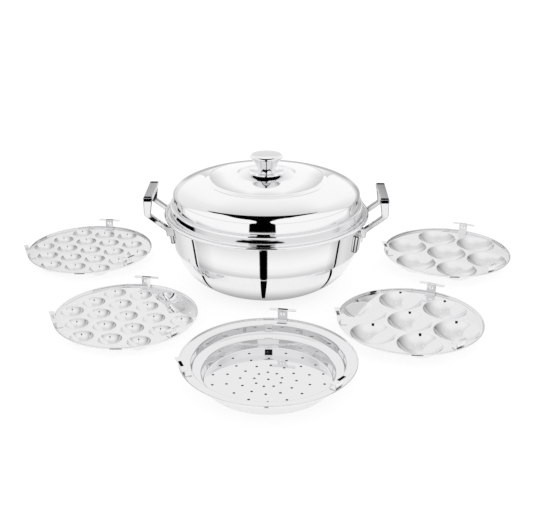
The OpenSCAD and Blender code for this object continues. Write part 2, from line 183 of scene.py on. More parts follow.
def brushed_steel():
    """Stainless steel brushed with an abrasive belt: a grey satin face with fine straight lines
    along the grip, front to back."""
    material, tree = new_material("brushed_stainless")
    place = add(tree, "TexCoord").outputs["Object"]
    # Grit lines 0.15 mm apart, drawn 0.6 mm apart so that they show
    stretched = add(tree, "Mapping", {"Vector": place, "Scale": (1700.0, 30.0, 1700.0)})
    lines = add(tree, "TexNoise", {"Vector": stretched, "Scale": 1.0, "Detail": 4.0}).outputs["Fac"]
    rough = spread(tree, lines, (0.3, 0.7), (0.28, 0.42))
    bump = add(tree, "Bump", {"Height": lines, "Strength": 0.15, "Distance": BUMP_DEPTH})
    finish_metal(tree, two_tones(tree, lines, "#a6a8aa", "#bcbec0"), rough, Normal=bump)
    return material


# Sizes in millimetres, as in the CAD source

RIM_R = 140
LIP_Z = 103.8
MOUTH_R = 132
BEAD_R = 2.4
BEAD_AT = (RIM_R - BEAD_R, LIP_Z - 0.4)
BASE_R = 50
CREASE_R = 126.5
CREASE_Z = 57
CREASE_STEP = 0.8
POT_T = 1.2
LIP_UNDER = LIP_Z - POT_T
LIP_OUT = 2.8
LIP_UP = 4
NECK_Z = LIP_UNDER - LIP_UP
BOWL_TURN = math.radians(79)
BOWL_A = (CREASE_R - BASE_R) / math.sin(BOWL_TURN)
BOWL_B = CREASE_Z / (1 - math.cos(BOWL_TURN))
WALL_FOOT = (CREASE_R + CREASE_STEP, CREASE_Z + 1.5 * CREASE_STEP)
WALL_LEAN = math.atan2(MOUTH_R - WALL_FOOT[0], NECK_Z - WALL_FOOT[1])

GRIP_OUT = RIM_R + 24
GRIP_W = 12
GRIP_IN = GRIP_OUT - GRIP_W
GRIP_TOP = LIP_Z + 29.7
GRIP_LEN = 71
GRIP_T = 6
LEG_T = 7
LEG_DEPTH = 6.5
LEG_MID = GRIP_LEN / 2 - LEG_T / 2
FOOT_T = 4.5
FOOT_W = 14
FOOT_H = 24
FOOT_TOP = BEAD_AT[1] - BEAD_R - 13.5
FOOT_MID = FOOT_TOP - FOOT_H / 2
ELBOW_Z = GRIP_TOP - 22
RIVET_HEAD_D = 8
RIVET_HEAD_H = 1.5
# How far the castings reach into the pot's wall, and their rounding
BITE = 0.4
CAST_ROUNDING = 1.3

DOME_R = 127
DOME_Z = LIP_Z + 28.2
DOME_RISE = 28.6
DOME_POWER = 1.65
LID_T = 1
FLANGE_DROP = 10.6
FLANGE_TOP = LIP_Z + LID_T + FLANGE_DROP
FLANGE_R = DOME_R + 4.6
FLANGE_CREST = 1.9
LID_EDGE_R = 134.9
PANEL_R = 81.5
PANEL_STEP = 0.7
PANEL_GROOVE = 0.15
DISH_R = 39.5
DISH_DEPTH = 1.2
KNOB_R = 21.8
KNOB_H = 26.4
KNOB_FOOT_R = 11
KNOB_EDGE = 3
SAUCER_R = 24.5
SAUCER_H = 3.8
SAUCER_T = 1.2
SCREW_HOLE_R = 2.8

PLATE_R = 92
PLATE_T = 0.8
WEB_R = PLATE_R - 3
EDGE_H = 3
CUP_R = 28.5
CUP_DEPTH = 14.5
CUP_PITCH = 60
MINI_R = 15.1
MINI_DEPTH = 10
MINI_PITCH = 36.6
CUP_TURN = -18
GAP_TURN = 12
WEB_Z = CUP_DEPTH + PLATE_T
MINI_WEB_Z = MINI_DEPTH + PLATE_T
PINHOLE_R = 0.8
VENT_R = 1.4
PIN_RINGS = ((6, 8), (10, 15.5))

PAN_R = 102
PAN_DEPTH = 27
PAN_FLANGE_R = PAN_R - 10.5
PAN_EDGE = 2
PAN_BASE_R = 71
PAN_WALL_R = PAN_BASE_R + 4
PAN_LEDGE_Z = 14
PAN_HOLE_R = 1.6
PAN_RING = 16.2
PAN_COUNTS = (1, 9, 12, 14, 18)
ROLL_R = 0.9

LUG_W = 12
LUG_H = 14
BAR_LEN = 33
BAR_W = 6
LUG_FOOT = 8.5
LUG_T = 0.9
LUG_R = WEB_R + 0.2
PAN_LUG_R = PAN_R - 2.4

# Where each plate lies: its centre, its turn in degrees, the height of its flat sheet, how far out
# its lugs are, and the first lug's angle
LAYOUT = {
    "mini_rear": (-266.4, 78.2, 9, MINI_WEB_Z, LUG_R, 72),
    "mini_front": (-177.2, -140.1, 9, MINI_WEB_Z, LUG_R, 72),
    "idli_rear": (264.5, 68.4, -7, WEB_Z, LUG_R, 72),
    "idli_front": (184.0, -155.8, -7, WEB_Z, LUG_R, 72),
    "steamer": (8.4, -278.9, 0, PAN_DEPTH, PAN_LUG_R, 81)}


# Modelling

def start_clean():
    """Leaves edit mode and selects nothing."""
    if bpy.context.object and bpy.context.object.mode == "EDIT":
        bpy.ops.object.mode_set(mode="OBJECT")
    bpy.ops.object.select_all(action="DESELECT")


def draw_line(name, points):
    """Starts a new mesh with one vertex and draws it out through the points, given in millimetres.
    It stays in edit mode."""
    start_clean()
    bpy.ops.mesh.primitive_plane_add(size=MM)
    piece = bpy.context.object
    piece.name = piece.data.name = name
    bpy.ops.object.mode_set(mode="EDIT")
    bpy.ops.mesh.select_mode(type="VERT")
    bpy.ops.mesh.select_all(action="SELECT")
    bpy.ops.mesh.merge(type="CENTER")
    places = [Vector(p) * MM for p in points]
    bpy.ops.transform.translate(value=places[0])
    for before, after in zip(places, places[1:]):
        bpy.ops.mesh.extrude_vertices_move(TRANSFORM_OT_translate={"value": after - before})
    return piece


def draw_face(name, points):
    """Starts a new mesh with one face, outlined by the points. It stays in edit mode."""
    piece = draw_line(name, points)
    bpy.ops.mesh.select_all(action="SELECT")
    bpy.ops.mesh.edge_face_add()
    return piece


def tidy_normals(smooth_angle=SMOOTH_BELOW):
    """Joins doubles, points the faces outwards and smooths all edges below the angle."""
    bpy.ops.mesh.select_all(action="SELECT")
    bpy.ops.mesh.remove_doubles(threshold=WELD)
    bpy.ops.mesh.normals_make_consistent(inside=False)
    bpy.ops.object.mode_set(mode="OBJECT")
    bpy.ops.object.shade_smooth_by_angle(angle=math.radians(smooth_angle))


def spun(name, line, steps=SPIN_STEPS, closed=False, smooth_angle=SMOOTH_BELOW):
    """Spins a line of (radius, height) round the Z axis. A closed line ends where it starts."""
    points = [(r, 0, z) for r, z in line]
    piece = draw_line(name, points + points[:1] if closed else points)
    bpy.ops.mesh.select_all(action="SELECT")
    bpy.ops.mesh.spin(steps=steps, angle=TURN, center=(0, 0, 0), axis=(0, 0, 1))
    tidy_normals(smooth_angle)
    return piece


def shares(count):
    """Shares from 0 to 1, in equal steps."""
    return [i / count for i in range(count + 1)]


def left_of(a, b):
    """The direction at right angles to the way from a to b, on its left."""
    length = math.hypot(b[0] - a[0], b[1] - a[1])
    return (-(b[1] - a[1]) / length, (b[0] - a[0]) / length)


def moved(line, t):
    """The line moved sideways by t, to its left."""
    out = []
    last = len(line) - 1
    for i, point in enumerate(line):
        before = left_of(line[max(i - 1, 0)], line[max(i, 1)])
        after = left_of(line[min(i, last - 1)], line[min(i + 1, last)])
        sx, sy = before[0] + after[0], before[1] + after[1]
        size = math.hypot(sx, sy)
        half = (sx / size, sy / size)
        reach = t / (half[0] * before[0] + half[1] * before[1])
        out.append((max(point[0] + half[0] * reach, 0), point[1] + half[1] * reach))
    return out


def sheet(line, t):
    """Outline of a sheet of thickness t on the left of a line."""
    return list(line) + moved(line, t)[::-1]


# A corner that turns less than this, in radians, stays as it is, and no rounding takes up more than
# this share of a side
STRAIGHT = 0.02
SIDE_SHARE = 0.45


def rounded(line, radius, count=5):
    """An open line with every inner corner rounded."""
    out = [line[0]]
    for a, b, c in zip(line, line[1:], line[2:]):
        u = (Vector(a) - Vector(b)).normalized()
        v = (Vector(c) - Vector(b)).normalized()
        turn = math.pi - u.angle(v)
        if turn < STRAIGHT:
            out.append(b)
            continue
        cut = min(radius * math.tan(turn / 2), SIDE_SHARE * (Vector(a) - Vector(b)).length,
                  SIDE_SHARE * (Vector(c) - Vector(b)).length)
        start, end = Vector(b) + u * cut, Vector(b) + v * cut
        for k in shares(count):
            out.append(tuple((1 - k) ** 2 * start + 2 * k * (1 - k) * Vector(b) + k ** 2 * end))
    out.append(line[-1])
    return out


def arc(centre, radius, start, end, count):
    """Points on an arc, angles in degrees from +X towards +Z."""
    angles = [math.radians(start + (end - start) * i / count) for i in range(count + 1)]
    return [(centre[0] + radius * math.cos(a), centre[1] + radius * math.sin(a)) for a in angles]


def wall_r(z):
    """The radius of the pot's upper wall, outside, at a height."""
    return WALL_FOOT[0] + (z - WALL_FOOT[1]) * math.tan(WALL_LEAN)


def dome_height(r):
    """The height of the lid's dome, outside, at a radius."""
    return DOME_Z + DOME_RISE * (1 - (min(r, DOME_R) / DOME_R) ** DOME_POWER) ** (1 / DOME_POWER)


def ring(name, centre, radius, around=16):
    """A rolled bead: a round wire bent to a ring."""
    return spun(name, arc(centre, radius, 0, 360, around)[:-1], closed=True, smooth_angle=BEAD_SMOOTH_BELOW)


def join(pieces, name):
    """Makes several pieces one object with this name."""
    start_clean()
    for piece in pieces:
        piece.select_set(True)
    bpy.context.view_layer.objects.active = pieces[0]
    bpy.ops.object.join()
    joined = bpy.context.object
    joined.name = joined.data.name = name
    return joined


def placed(x, y, z):
    """A move, given in millimetres."""
    return Matrix.Translation((x * MM, y * MM, z * MM))


def turned(degrees, axis="Z"):
    """A turn about an axis."""
    return Matrix.Rotation(math.radians(degrees), 4, axis)


def copy_to(piece, name, x=0.0, y=0.0, turn=0.0):
    """A copy with its own mesh, turned in degrees about the Z axis and then moved, in millimetres."""
    copy = piece.copy()
    copy.data = piece.data.copy()
    copy.name = copy.data.name = name
    bpy.context.scene.collection.objects.link(copy)
    copy.data.transform(placed(x, y, 0) @ turned(turn))
    return copy


def drop(*pieces):
    """Deletes pieces that were only needed on the way."""
    for piece in pieces:
        bpy.data.meshes.remove(piece.data)


def settle(piece, material, body, slot, *nodes):
    """Gives a finished piece its material and its body, and hides the CAD nodes that it stands for."""
    piece.data.materials.clear()
    piece.data.materials.append(material)
    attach(piece, body)
    if nodes:
        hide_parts(*nodes)
    return piece


# Pot

pot_steel = mirror_steel("stainless_mirror_pot", (0, 0))

# The base and the bowl, whose curve starts a little way on, where it has left the table
BOWL_START = 0.02
pot_line = [(0, 0), (BASE_R - 3, 0)]
pot_line += [(BASE_R + BOWL_A * math.sin(a), BOWL_B * (1 - math.cos(a)))
             for a in [BOWL_TURN * (BOWL_START + (1 - BOWL_START) * k) for k in shares(60)]]
# The crease bulges and steps out sharply to the upper wall
crease = rounded([pot_line[-1], (CREASE_R + 0.15, CREASE_Z + 0.4),
                  (CREASE_R + CREASE_STEP - 0.1, CREASE_Z + 0.75),
                  (wall_r(CREASE_Z + 1.8), CREASE_Z + 1.8)], 0.5, 4)
pot_line += crease[1:]
# The upper wall, and the curve that leads out of it to the lip
pot_line += [(wall_r(z), z) for z in (CREASE_Z + 6, CREASE_Z + 16, NECK_Z - 12, NECK_Z - 4, NECK_Z - 1)]
pot_line += [(MOUTH_R + LIP_OUT * (1 - math.cos(a)), NECK_Z + LIP_UP * math.sin(a))
             for a in [math.radians(5 + 85 * i / 10) for i in range(11)]]
pot_line += [(BEAD_AT[0], LIP_UNDER)]
pot = spun("pot_bowl", sheet(pot_line, POT_T))
pot = join([pot, ring("pot_roll", BEAD_AT, BEAD_R)], "pot_bowl")
settle(pot, pot_steel, "pot", "polished_steel", "pot_shell")

# Lid

# The edge that lies on the lip, and the flange's wall
flange_wall = FLANGE_R + 0.1
flange_low = LIP_Z + LID_T
flange_high = FLANGE_TOP + FLANGE_CREST
lid_line = rounded([(LID_EDGE_R - 0.4, flange_low), (FLANGE_R + 0.3, flange_low + 0.1),
                    (flange_wall, flange_low + 3), (flange_wall, FLANGE_TOP - 3)], 0.9, 4)
# The flange's crest, with a shallow gutter between it and the dome
lid_line += rounded([(flange_wall, FLANGE_TOP - 1), (flange_wall, flange_high),
                     (FLANGE_R - 1.9, flange_high), (DOME_R + 1.1, FLANGE_TOP + 0.2),
                     (DOME_R, FLANGE_TOP + 0.6), (DOME_R, FLANGE_TOP + 3.5)], 0.5, 4)
lid_line += [(DOME_R, DOME_Z - 6), (DOME_R, DOME_Z - 2)]
# The dome, with points evenly spread along its curve, down to the raised panel
PANEL_START = PANEL_R + 3
dome_radii = [DOME_R * math.sin(math.radians(90 - 52 * i / 70)) ** (2 / DOME_POWER) for i in range(71)]
lid_line += [(r, dome_height(r)) for r in dome_radii if r > PANEL_START]
lid_line += [(PANEL_START, dome_height(PANEL_START))]
# The panel's edge, each point by how far outside it and how far above the dome it is
PANEL_EDGE = ((1.2, -0.1), (0.3, -PANEL_GROOVE), (-0.6, -0.02), (-2.6, PANEL_STEP - 0.2), (-3.6, PANEL_STEP))
lid_line += [(PANEL_R + out, dome_height(PANEL_R + out) + lift) for out, lift in PANEL_EDGE]
panel_radii = [PANEL_R - 5 - (PANEL_R - DISH_R - 8) * i / 30 for i in range(31)]
lid_line += [(r, dome_height(r) + PANEL_STEP) for r in panel_radii]
# The dish under the knob
DISH_Z = dome_height(DISH_R) + PANEL_STEP - DISH_DEPTH
rim_of_dish = dome_height(DISH_R + 1) + PANEL_STEP
lid_line += [(DISH_R + 1 - 3 * k, rim_of_dish + (DISH_Z - rim_of_dish) * (3 * k * k - 2 * k ** 3))
             for k in shares(8)]
lid_line += [(DISH_R - 3.5, DISH_Z), (SCREW_HOLE_R, DISH_Z)]
lid = spun("lid_dome", sheet(lid_line, LID_T), closed=True)
settle(lid, pot_steel, "lid", "polished_steel", "lid_shell")

# The saucer rises slowly from its floor to its edge
saucer_line = rounded([(SCREW_HOLE_R, DISH_Z), (SAUCER_R * 0.56, DISH_Z), (SAUCER_R * 0.72, DISH_Z + 0.5),
                       (SAUCER_R * 0.9, DISH_Z + SAUCER_H * 0.45),
                       (SAUCER_R - 0.4, DISH_Z + SAUCER_H - SAUCER_T)], 6, 6)
saucer = spun("knob_saucer", sheet(saucer_line, SAUCER_T), KNOB_STEPS, closed=True)
settle(saucer, pot_steel, "lid", "polished_steel", "lid_saucer")

# The knob: a short foot, a flare, a rounded edge and a slightly domed top
SAUCER_FLOOR = DISH_Z + SAUCER_T
FLARE_START = 1.5
FLARE_TOP = KNOB_H - KNOB_EDGE - 1.5
FLARE_POWER = 1.7
TOP_SHARE = 0.93
TOP_RISE = 0.9
knob_line = [(0, 0), (KNOB_FOOT_R - 0.8, 0), (KNOB_FOOT_R - 0.25, 0.25), (KNOB_FOOT_R, 0.8)]
knob_line += [(KNOB_FOOT_R + (KNOB_R - KNOB_FOOT_R) * k ** FLARE_POWER,
               FLARE_START + (FLARE_TOP - FLARE_START) * k) for k in shares(24)]
knob_line += arc((KNOB_R - KNOB_EDGE / 2, KNOB_H - 1.5 - KNOB_EDGE / 2), KNOB_EDGE / 2, -60, 60, 12)
knob_line += [(KNOB_R * (1 - k) * TOP_SHARE, KNOB_H - TOP_RISE * (1 - k) ** 2) for k in shares(10)]
knob = spun("knob", [(r, z + SAUCER_FLOOR) for r, z in knob_line], KNOB_STEPS)
settle(knob, pot_steel, "lid", "polished_steel", "lid_knob")

# The two pieces inside the lid keep their CAD form
satin = brushed_steel()
for name in ("lid_washer", "lid_screw"):
    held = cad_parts[name]
    held.data.materials.clear()
    held.data.materials.append(satin)


# Handles

CORNER_STEPS = 5


def shape(corners):
    """A closed outline of (x, z, radius) corners, each rounded to its radius."""
    out = []
    for i, (x, z, radius) in enumerate(corners):
        corner = Vector((x, z))
        before = Vector(corners[i - 1][:2]) - corner
        after = Vector(corners[(i + 1) % len(corners)][:2]) - corner
        cut = radius / math.tan(before.angle(after) / 2)
        start, end = corner + before.normalized() * cut, corner + after.normalized() * cut
        for k in shares(CORNER_STEPS) if radius else [0]:
            out.append(tuple((1 - k) ** 2 * start + 2 * k * (1 - k) * corner + k ** 2 * end))
    return out


def slab(name, points, y, width):
    """A flat-sided block: an outline in the XZ plane, drawn out along Y from y."""
    piece = draw_face(name, [(x, y, z) for x, z in points])
    bpy.ops.mesh.extrude_region_move(TRANSFORM_OT_translate={"value": (0, width * MM, 0)})
    tidy_normals()
    return piece


def choose(piece):
    """Makes the piece the only one that the next command works on."""
    start_clean()
    piece.select_set(True)
    bpy.context.view_layer.objects.active = piece


def bevel(piece, width):
    """Rounds the piece's sharp edges, to a width in millimetres."""
    choose(piece)
    rounding = piece.modifiers.new("rounding", "BEVEL")
    rounding.width = width * MM
    rounding.segments = 3
    rounding.limit_method = "ANGLE"
    rounding.angle_limit = math.radians(35)
    bpy.ops.object.modifier_apply(modifier="rounding")
    bpy.ops.object.shade_smooth_by_angle(angle=math.radians(SMOOTH_BELOW))


def cut_by(piece, cutter):
    """Takes the cutter's shape out of the piece."""
    choose(piece)
    cut = piece.modifiers.new("cut", "BOOLEAN")
    cut.object = cutter
    cut.operation = "DIFFERENCE"
    cut.solver = "EXACT"
    bpy.ops.object.modifier_apply(modifier="cut")
    bpy.ops.object.shade_smooth_by_angle(angle=math.radians(SMOOTH_BELOW))


def handle(name):
    """The right-hand handle: grip bar, two legs and two foot pads. Each is drawn in outline and
    drawn out to its width, and what would reach inside the pot is cut away."""
    foot_out = wall_r(FOOT_TOP) + FOOT_T
    leg_low = FOOT_TOP - LEG_DEPTH - 2
    leg_high = FOOT_TOP + 4.5
    leg_in = MOUTH_R - 12
    # Down the leg's outside from the grip, under it, and up its inside
    leg_line = shape([
        (GRIP_OUT, GRIP_TOP, 0.8), (GRIP_OUT - 0.2, ELBOW_Z - 3, 7), (foot_out, FOOT_TOP - 1, 4),
        (foot_out - 1, leg_low, 0), (leg_in, leg_low, 0), (leg_in, leg_high, 0),
        (MOUTH_R + 1, leg_high, 2), (GRIP_IN + 3.4, ELBOW_Z - 2.5, 4), (GRIP_IN, GRIP_TOP, 0.8)])
    grip = slab(name, shape([(GRIP_IN, GRIP_TOP - GRIP_T, 1.5), (GRIP_OUT, GRIP_TOP - GRIP_T, 1.5),
                             (GRIP_OUT, GRIP_TOP, 0), (GRIP_IN, GRIP_TOP, 0)]), -GRIP_LEN / 2, GRIP_LEN)
    bevel(grip, 0.8)
    parts = [grip]
    inside = [(0, 1)] + [(r - BITE, z) for r, z in pot_line if 40 < z < NECK_Z]
    pot_body = spun("cutter", inside + [(wall_r(NECK_Z) - BITE, LIP_Z), (0, LIP_Z)])
    for end in (-1, 1):
        leg = slab("leg", leg_line, end * LEG_MID - LEG_T / 2, LEG_T)
        bevel(leg, CAST_ROUNDING)
        cut_by(leg, pot_body)
        parts.append(leg)
        low = FOOT_TOP - FOOT_H
        half = math.degrees(math.asin(FOOT_W / 2 / wall_r(FOOT_MID)))
        corners = [(wall_r(z) + out, z) for z, out in (
            (low, -BITE), (low, FOOT_T), (FOOT_TOP, FOOT_T), (FOOT_TOP, -BITE))]
        pad = draw_face("foot", [(r, 0, z) for r, z in corners])
        bpy.ops.mesh.spin(steps=8, angle=math.radians(2 * half), center=(0, 0, 0), axis=(0, 0, 1))
        tidy_normals()
        bevel(pad, CAST_ROUNDING)
        turn = end * math.degrees(math.asin(LEG_MID / wall_r(FOOT_MID))) - half
        pad.data.transform(turned(turn))
        parts.append(pad)
    drop(pot_body)
    return join(parts, name)


def across(face):
    """How far a face looks sideways, round the pot."""
    out = Vector((face.center.x, face.center.y, 0)).normalized()
    return face.normal.x * out.y - face.normal.y * out.x


# Which faces are the grip's satin top, and which rounded-edge faces get the painted dark shade, by the way
# they face
SATIN_SLOT = 1
SHADED_EDGE_SLOT = 2
LEVEL = 0.98
SHADE_FACING = (0.12, 0.97)

casting = cast_steel()
# Dark metal that paints shade on the handles' rounded edges
edge_shade_paint = painted_edge_shade()
right = handle("handle_right_cast")
left = copy_to(right, "handle_left_cast", turn=180)
for piece, node_name in ((right, "handle_right"), (left, "handle_left")):
    settle(piece, casting, "pot", "satin_steel", node_name)
    piece.data.materials.append(satin)
    piece.data.materials.append(edge_shade_paint)
    # Faces on the rounded edges, picked by the way they face, get the painted dark shade
    for face in piece.data.polygons:
        if face.normal.z > LEVEL and face.center.z > (GRIP_TOP - 0.3) * MM:
            face.material_index = SATIN_SLOT
        elif SHADE_FACING[0] < abs(face.normal.y if face.center.z > FOOT_TOP * MM else across(face)) < SHADE_FACING[1]:
            face.material_index = SHADED_EDGE_SLOT

# Rivets

# Each has a domed head outside and a flatter one inside, drawn on the Z axis and then laid over
RIVET_STEPS = 32
head_ball = (RIVET_HEAD_D ** 2 / 4 + RIVET_HEAD_H ** 2) / (2 * RIVET_HEAD_H)
head_turn = math.degrees(math.asin(RIVET_HEAD_D / 2 / head_ball))
head = spun("rivet_head", [(0, FOOT_T - 0.1), (RIVET_HEAD_D / 2, FOOT_T - 0.1)]
            + arc((0, FOOT_T + RIVET_HEAD_H - head_ball), head_ball, 90 - head_turn, 90, 8), RIVET_STEPS)
tail_r = RIVET_HEAD_D / 2
tail = spun("rivet_tail", [(0, -POT_T - 1.7), (tail_r - 0.4, -POT_T - 1.7), (tail_r, -POT_T - 1.3),
                           (tail_r, -POT_T), (0, -POT_T)], RIVET_STEPS)
rivet = join([head, tail], "rivet")
foot_turn = math.degrees(math.asin(LEG_MID / wall_r(FOOT_MID)))
for side, name in ((0, "rivets_right"), (180, "rivets_left")):
    pair = []
    for end in (-1, 1):
        one = copy_to(rivet, "rivet")
        one.data.transform(turned(side + end * foot_turn) @ placed(wall_r(FOOT_MID), 0, FOOT_MID)
                           @ Matrix.Rotation(math.pi / 2 + WALL_LEAN, 4, "Y"))
        pair.append(one)
    settle(join(pair, name + "_domed"), pot_steel, "pot", "polished_steel", name)
drop(rivet)


# Plates

# How many corners cups, holes and rolls are drawn with; the cups' brims and the punches' length in
# millimetres
CUP_STEPS = 72
MINI_STEPS = 48
HOLE_STEPS = 12
PINHOLE_STEPS = 10
ROLL_STEPS = 10
CUP_BRIM = 1.3
MINI_BRIM = 1.2
PUNCH_H = 4


def circle_points(count, r, turn=0.0):
    """Points evenly spread on a circle, the first one at the turn."""
    angles = [math.radians(turn + 360 * k / count) for k in range(count)]
    return [(r * math.cos(a), r * math.sin(a)) for a in angles]


def honeycomb(rings, pitch):
    """The cups' centres: one in the middle and rings of six, twelve and so on round it."""
    cos, sin = math.cos(math.radians(CUP_TURN)), math.sin(math.radians(CUP_TURN))
    out = []
    for q in range(-rings, rings + 1):
        for s in range(max(-rings, -q - rings), min(rings, rings - q) + 1):
            x, y = pitch * (q + s / 2), pitch * s * math.sqrt(3) / 2
            out.append((x * cos - y * sin, x * sin + y * cos))
    return out


def pierced_disc(name, z, outer_r, holes):
    """A flat round sheet at height z with round holes: (x, y, radius, corners)."""
    start_clean()
    bpy.ops.mesh.primitive_circle_add(vertices=SPIN_STEPS, radius=outer_r * MM, location=(0, 0, z * MM))
    disc = bpy.context.object
    disc.name = disc.data.name = name
    bpy.ops.object.transform_apply(location=True)
    bpy.ops.object.mode_set(mode="EDIT")
    for x, y, r, corners in holes:
        bpy.ops.mesh.primitive_circle_add(vertices=corners, radius=r * MM, location=(x * MM, y * MM, z * MM))
    bpy.ops.mesh.select_all(action="SELECT")
    bpy.ops.mesh.fill(use_beauty=True)
    bpy.ops.object.mode_set(mode="OBJECT")
    return disc


def solidify(piece, thickness, side):
    """Thickens the active piece: below its skin with a side of -1, to both sides of it with 0."""
    skin = piece.modifiers.new("thickness", "SOLIDIFY")
    skin.thickness = thickness * MM
    skin.offset = side
    skin.use_even_offset = True
    bpy.ops.object.modifier_apply(modifier="thickness")


def thicken(piece, thickness):
    """Gives a single skin its thickness, below its top face."""
    choose(piece)
    bpy.ops.object.mode_set(mode="EDIT")
    bpy.ops.mesh.select_all(action="SELECT")
    bpy.ops.mesh.remove_doubles(threshold=2 * WELD)
    bpy.ops.mesh.normals_make_consistent(inside=False)
    bpy.ops.object.mode_set(mode="OBJECT")
    flat_face = max(piece.data.polygons, key=lambda f: f.area)
    if flat_face.normal.z < 0:
        bpy.ops.object.mode_set(mode="EDIT")
        bpy.ops.mesh.flip_normals()
        bpy.ops.object.mode_set(mode="OBJECT")
    solidify(piece, thickness, -1)
    bpy.ops.object.shade_smooth_by_angle(angle=math.radians(SMOOTH_BELOW))
    return piece


def open_spun(name, line, steps=SPIN_STEPS):
    """Spins an open line and leaves it a single skin."""
    piece = draw_line(name, [(r, 0, z) for r, z in line])
    bpy.ops.mesh.select_all(action="SELECT")
    bpy.ops.mesh.spin(steps=steps, angle=TURN, center=(0, 0, 0), axis=(0, 0, 1))
    bpy.ops.mesh.select_all(action="SELECT")
    bpy.ops.mesh.remove_doubles(threshold=WELD)
    bpy.ops.object.mode_set(mode="OBJECT")
    return piece


def cup_line(z, r, depth, brim):
    """Line of a cup from the flat sheet round it down to its centre. The brim is an arc that leaves
    the sheet level and runs smoothly into the ball-shaped cup."""
    r -= 0.6
    ball = (r * r + depth * depth) / (2 * depth)
    centre_z = z - depth + ball
    turn_r = math.sqrt((ball + brim) ** 2 - (centre_z - z + brim) ** 2)
    slope = math.degrees(math.asin(turn_r / (ball + brim)))
    line = arc((turn_r, z - brim), brim, 90, 90 + slope, 7)
    return line + arc((0, centre_z), ball, slope - 90, -90, 16)[1:]


def raised_edge(z):
    """The plate's upturned edge, from its flat web to the roll."""
    line = [(WEB_R, z)] + rounded([
        (WEB_R + 0.1, z), (PLATE_R - 1.9, z + 0.3), (PLATE_R - 1.6, z + 1.4),
        (PLATE_R - 1.6, z + EDGE_H - ROLL_R)], 1.6, 6)
    return open_spun("edge", line)


def cupped_plate(name, z, places, r, depth, corners, brim, vents):
    """A plate without its roll: a flat web at height z, with a cup at each place and round vents."""
    line = cup_line(z, r, depth, brim)
    holes = [(x, y, line[0][0], corners) for x, y in places] + [(x, y, VENT_R, HOLE_STEPS) for x, y in vents]
    web = pierced_disc(name, z, WEB_R, holes)
    cup = open_spun("cup", line, corners)
    cups = [copy_to(cup, "cup", x, y) for x, y in places]
    drop(cup)
    return thicken(join([web, raised_edge(z)] + cups, name), PLATE_T)


mini_vents = [p for side in (-16, 16) for p in circle_points(6, WEB_R - 7, CUP_TURN + side)]
idli_vents = (circle_points(6, 66, GAP_TURN) + circle_points(6, 72.5, GAP_TURN - 3.3)
              + circle_points(6, 72.5, GAP_TURN + 3.3))


def add_roll(plate, r, z):
    """Gives a plate the thin roll round its edge, whose outside is at r and whose top is at z."""
    roll = ring("roll", (r - ROLL_R, z - ROLL_R), ROLL_R, ROLL_STEPS)
    return join([plate, roll], plate.name)


mini = cupped_plate("mini_plate", MINI_WEB_Z, honeycomb(2, MINI_PITCH), MINI_R, MINI_DEPTH, MINI_STEPS,
                    MINI_BRIM, mini_vents)
mini = add_roll(mini, PLATE_R, MINI_WEB_Z + EDGE_H)
idli = cupped_plate("idli_plate", WEB_Z, honeycomb(1, CUP_PITCH), CUP_R, CUP_DEPTH, CUP_STEPS,
                    CUP_BRIM, idli_vents)


def pierce(plate, places):
    """Punches the steam holes square through the ball-shaped cups."""
    ball = (CUP_R ** 2 + CUP_DEPTH ** 2) / (2 * CUP_DEPTH)
    pins = []
    for x, y in places:
        for count, r in PIN_RINGS:
            for k in range(count):
                start_clean()
                bpy.ops.mesh.primitive_cylinder_add(
                    vertices=PINHOLE_STEPS, radius=PINHOLE_R * MM, depth=PUNCH_H * MM)
                pin = bpy.context.object
                pin.data.transform(placed(x, y, PLATE_T + ball) @ turned(360 * k / count)
                                   @ Matrix.Rotation(math.pi - math.asin(r / ball), 4, "Y")
                                   @ placed(0, 0, ball))
                pins.append(pin)
    punch = join(pins, "punch")
    cut_by(plate, punch)
    drop(punch)


pierce(idli, honeycomb(1, CUP_PITCH))
idli = add_roll(idli, PLATE_R, WEB_Z + EDGE_H)

pan_holes = [(x, y, PAN_HOLE_R, HOLE_STEPS) for k, count in enumerate(PAN_COUNTS)
             for x, y in circle_points(count, k * PAN_RING, 13 * k)]
pan_base = pierced_disc("steamer_pan", PLATE_T, PAN_BASE_R - 1.2, pan_holes)
# The sheet's upper face: base corner, lower wall, ledge, upper wall, flange, turned-up edge
inner = [(PAN_BASE_R - 1.2, PLATE_T), (PAN_BASE_R - 0.6, PLATE_T)]
inner += rounded([(PAN_BASE_R - 0.5, PLATE_T), (PAN_WALL_R - 0.9, PLATE_T),
                  (PAN_WALL_R + 1.7, PAN_LEDGE_Z - 0.6), (PAN_FLANGE_R - 4.2, PAN_LEDGE_Z + 2.4),
                  (PAN_FLANGE_R - 3.5, PAN_DEPTH - 0.6), (PAN_R - 6, PAN_DEPTH)], 3, 8)[1:]
inner += [(PAN_R - 3.2, PAN_DEPTH)]
inner += rounded([(PAN_R - 3.1, PAN_DEPTH), (PAN_R - 1.75, PAN_DEPTH + 0.1),
                  (PAN_R - 1.7, PAN_DEPTH + PAN_EDGE - ROLL_R)], 1.0, 5)[1:]
pan = thicken(join([pan_base, open_spun("wall", inner)], "steamer_pan"), PLATE_T)
pan = add_roll(pan, PAN_R, PAN_DEPTH + PAN_EDGE)


# Lugs

# The two slots: their place as a share of the upright's width and height, and half their size
SLOT_STEPS = 16
SLOT_SIDE = 0.15
SLOT_HEIGHT = 0.62
SLOT_HALF = (2.0, 0.8)


